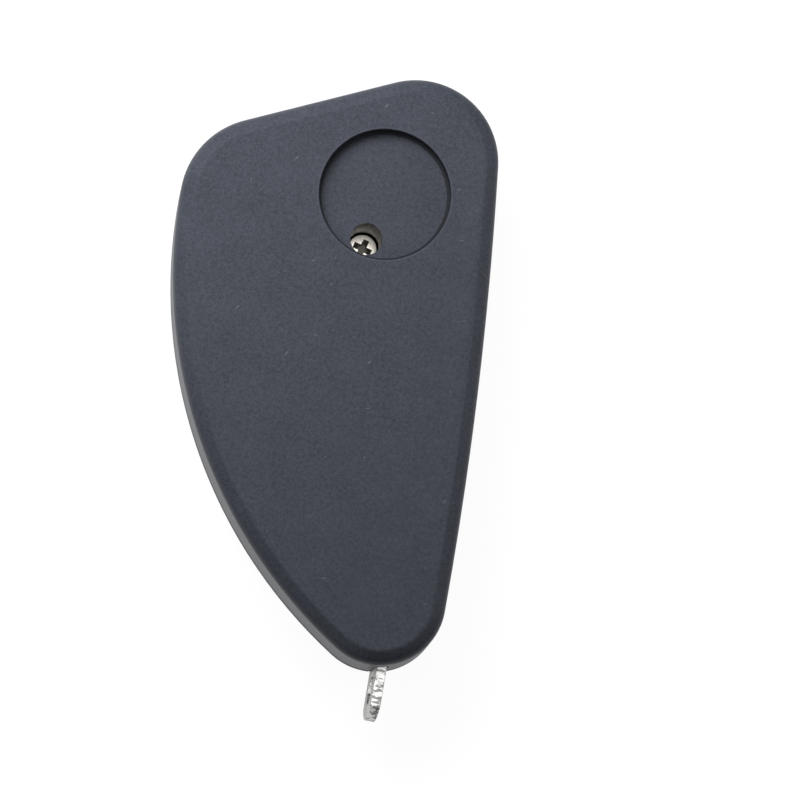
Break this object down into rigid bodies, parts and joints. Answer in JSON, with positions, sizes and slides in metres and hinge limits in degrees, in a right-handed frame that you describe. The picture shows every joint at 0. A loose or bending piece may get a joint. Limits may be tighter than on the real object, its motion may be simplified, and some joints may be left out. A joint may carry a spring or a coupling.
{
  "type": "flip key remote",
  "caption": "Folding car key remote: tapered case with bevelled back and round badge recess, steel blade that folds into a side slot, keys, release button and key-ring eyelet.",
  "frame": {"origin": "under the middle of the whole key's box, on the surface that its front face lies on", "axes": "+Z out of the back cover; +Y the way the opened blade points, away from the key-ring eyelet; +X towards the side that holds the folded blade"},
  "size_m": [0.0412, 0.0816, 0.0145],
  "materials": {
    "case_plastic": "fine spark-eroded grain, blue-grey",
    "carrier_black": "satin black",
    "blade_steel": "nickel-plated, milled",
    "button_black": "satin black",
    "key_grey": "soft matte, dark grey",
    "mat_rubber": "silicone, matte",
    "board_green": "solder-masked laminate",
    "switch_black": "moulded black",
    "plunger_cream": "natural nylon",
    "cell_steel": "plain steel",
    "contact_bronze": "nickel-plated bronze strip",
    "chip_resin": "moulded resin",
    "can_steel": "drawn can",
    "transponder_block": "carbon-filled block",
    "eyelet_steel": "stamped, nickel-plated",
    "screw_nickel": "nickel-plated",
    "spring_steel": "bright spring wire"
  },
  "bodies": {
    "case": {"back_cover": "case_plastic", "front_cover": "case_plastic", "key_mat": "mat_rubber", "circuit_board": "board_green", "lock_switch": "switch_black", "unlock_switch": "switch_black", "boot_switch": "switch_black", "coin_cell": "cell_steel", "lower_contact": "contact_bronze", "upper_contact": "contact_bronze", "control_chip": "chip_resin", "resonator": "can_steel", "transponder": "transponder_block", "ring_eyelet": "eyelet_steel", "case_screw": "screw_nickel"},
    "blade_unit": {"blade_carrier": "carrier_black", "key_blade": "blade_steel", "blade_pin": "blade_steel", "flip_spring": "spring_steel"},
    "release": {"release_button": "button_black"},
    "lock": {"lock_key": "key_grey", "lock_plunger": "plunger_cream"},
    "unlock": {"unlock_key": "key_grey", "unlock_plunger": "plunger_cream"},
    "boot": {"boot_key": "key_grey", "boot_plunger": "plunger_cream"}
  },
  "joints": [
    {"name": "flip", "type": "hinge", "parent": "case", "child": "blade_unit", "pos_m": [0.00858, 0.03026, 0.00735], "axis": [0, 0, 1], "range_deg": [0, 180]},
    {"name": "release_press", "type": "slide", "parent": "blade_unit", "child": "release", "axis": [0, 0, 1], "range_m": [0, 0.0025], "stiffness_N_per_m": 2500, "springref_m": -0.001, "deforming": ["flip_spring"]},
    {"name": "lock_press", "type": "slide", "parent": "case", "child": "lock", "axis": [0, 0, 1], "range_m": [0, 0.0005], "stiffness_N_per_m": 3000, "springref_m": -0.0003, "deforming": ["key_mat"]},
    {"name": "unlock_press", "type": "slide", "parent": "case", "child": "unlock", "axis": [0, 0, 1], "range_m": [0, 0.0005], "stiffness_N_per_m": 3000, "springref_m": -0.0003},
    {"name": "boot_press", "type": "slide", "parent": "case", "child": "boot", "axis": [0, 0, 1], "range_m": [0, 0.0005], "stiffness_N_per_m": 3000, "springref_m": -0.0003}
  ]
}
